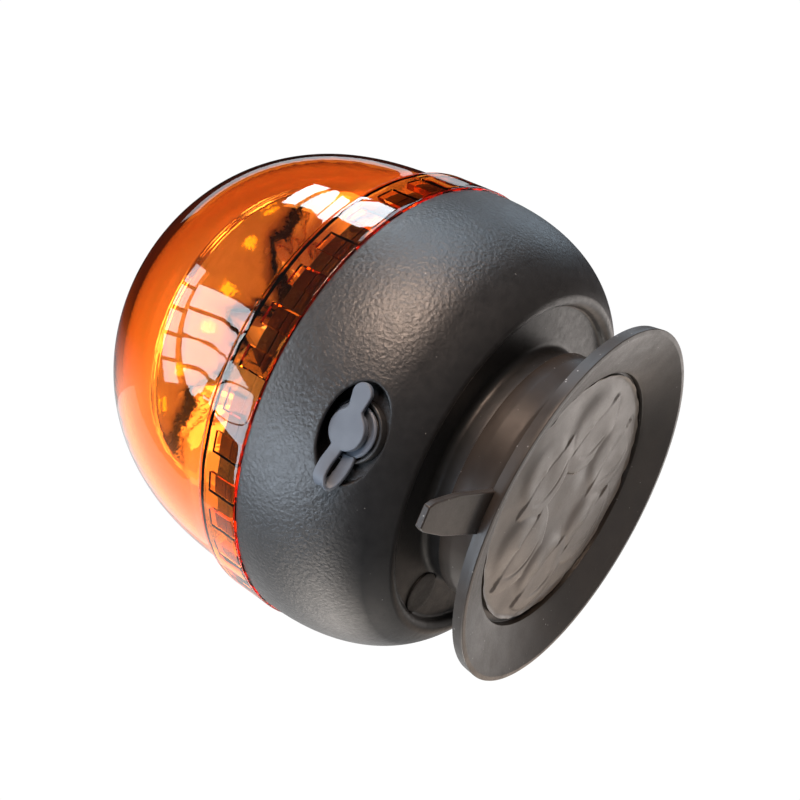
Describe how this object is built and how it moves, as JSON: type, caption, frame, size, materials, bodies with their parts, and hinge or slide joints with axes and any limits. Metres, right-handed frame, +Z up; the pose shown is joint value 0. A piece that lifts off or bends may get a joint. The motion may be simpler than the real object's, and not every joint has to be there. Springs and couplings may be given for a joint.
{
  "type": "warning beacon",
  "caption": "Cordless amber warning beacon: clear amber dome over a black rounded housing on a rubber suction foot with magnets, a capped charge port and a push button.",
  "frame": {"origin": "centre of the suction foot's rim plane, on the vehicle roof or bench it stands on", "axes": "+Z up through the dome, -Y towards the charge port and the foot's pull tab, +X to the right when facing the port"},
  "size_m": [0.1314, 0.1384, 0.1447],
  "materials": {
    "housing_black": "black moulded plastic with a fine spark-eroded grain",
    "amber_lens": "clear amber moulding, polished",
    "foot_rubber": "satin black rubber with a little dust",
    "cap_rubber": "matt slate blue-grey rubber",
    "membrane_film": "thin grey-brown rubber sheet drawn over the magnets",
    "mirror_plastic": "vacuum-metallised mirror coat on a moulded flare",
    "steel": "bright zinc-plated steel",
    "alloy": "plain cut aluminium",
    "tray_black": "plain black moulded plastic",
    "cell_sleeve": "blue shrink sleeve over a metal can",
    "board_green": "green circuit board",
    "board_white": "white-masked circuit board",
    "chip_black": "black moulded electronic packages",
    "led_yellow": "yellow phosphor under a clear dome",
    "wire_red": "red insulated wire"
  },
  "bodies": {
    "housing": {"base_housing": "housing_black", "charge_socket": "housing_black", "lens_dome": "amber_lens", "suction_cup": "foot_rubber", "lens_gasket": "foot_rubber", "cap_tether": "cap_rubber", "magnet_membrane": "membrane_film", "reflector": "mirror_plastic", "magnet_1": "steel", "magnet_2": "steel", "magnet_3": "steel", "magnet_4": "steel", "magnet_5": "steel", "magnet_6": "steel", "foot_bolt": "steel", "foot_washer": "steel", "foot_nut": "steel", "tray_screw_1": "steel", "tray_screw_2": "steel", "tray_screw_3": "steel", "tray_screw_4": "steel", "chassis_screw_1": "steel", "chassis_screw_2": "steel", "chassis_screw_3": "steel", "reflector_screw_1": "steel", "reflector_screw_2": "steel", "reflector_screw_3": "steel", "socket_nut": "steel", "socket_pin": "steel", "button_spring": "steel", "board_spacer_1": "alloy", "board_spacer_2": "alloy", "board_spacer_3": "alloy", "chassis_plate": "alloy", "magnet_holder": "tray_black", "battery_tray": "tray_black", "switch_bracket": "tray_black", "battery_cell_1": "cell_sleeve", "battery_cell_2": "cell_sleeve", "battery_cell_3": "cell_sleeve", "control_board": "board_green", "led_board": "board_white", "driver_chip": "chip_black", "charge_inductor": "chip_black", "switch_body": "chip_black", "led_1": "led_yellow", "led_2": "led_yellow", "led_3": "led_yellow", "led_4": "led_yellow", "led_5": "led_yellow", "led_6": "led_yellow", "led_7": "led_yellow", "led_8": "led_yellow", "led_9": "led_yellow", "led_10": "led_yellow", "socket_lead": "wire_red", "led_lead": "wire_red"},
    "cap": {"charge_cap": "cap_rubber"},
    "button": {"power_button": "foot_rubber"}
  },
  "joints": [
    {"name": "button_press", "type": "slide", "parent": "housing", "child": "button", "axis": [0, 0, 1], "range_m": [0, 0.0012], "stiffness_N_per_m": 600, "springref_m": -0.0008, "deforming": ["button_spring"]},
    {"name": "cap_open", "type": "hinge", "parent": "housing", "child": "cap", "pos_m": [-0.02018, -0.05752, 0.0349], "axis": [0, 0, -1], "range_deg": [0, 105]}
  ]
}
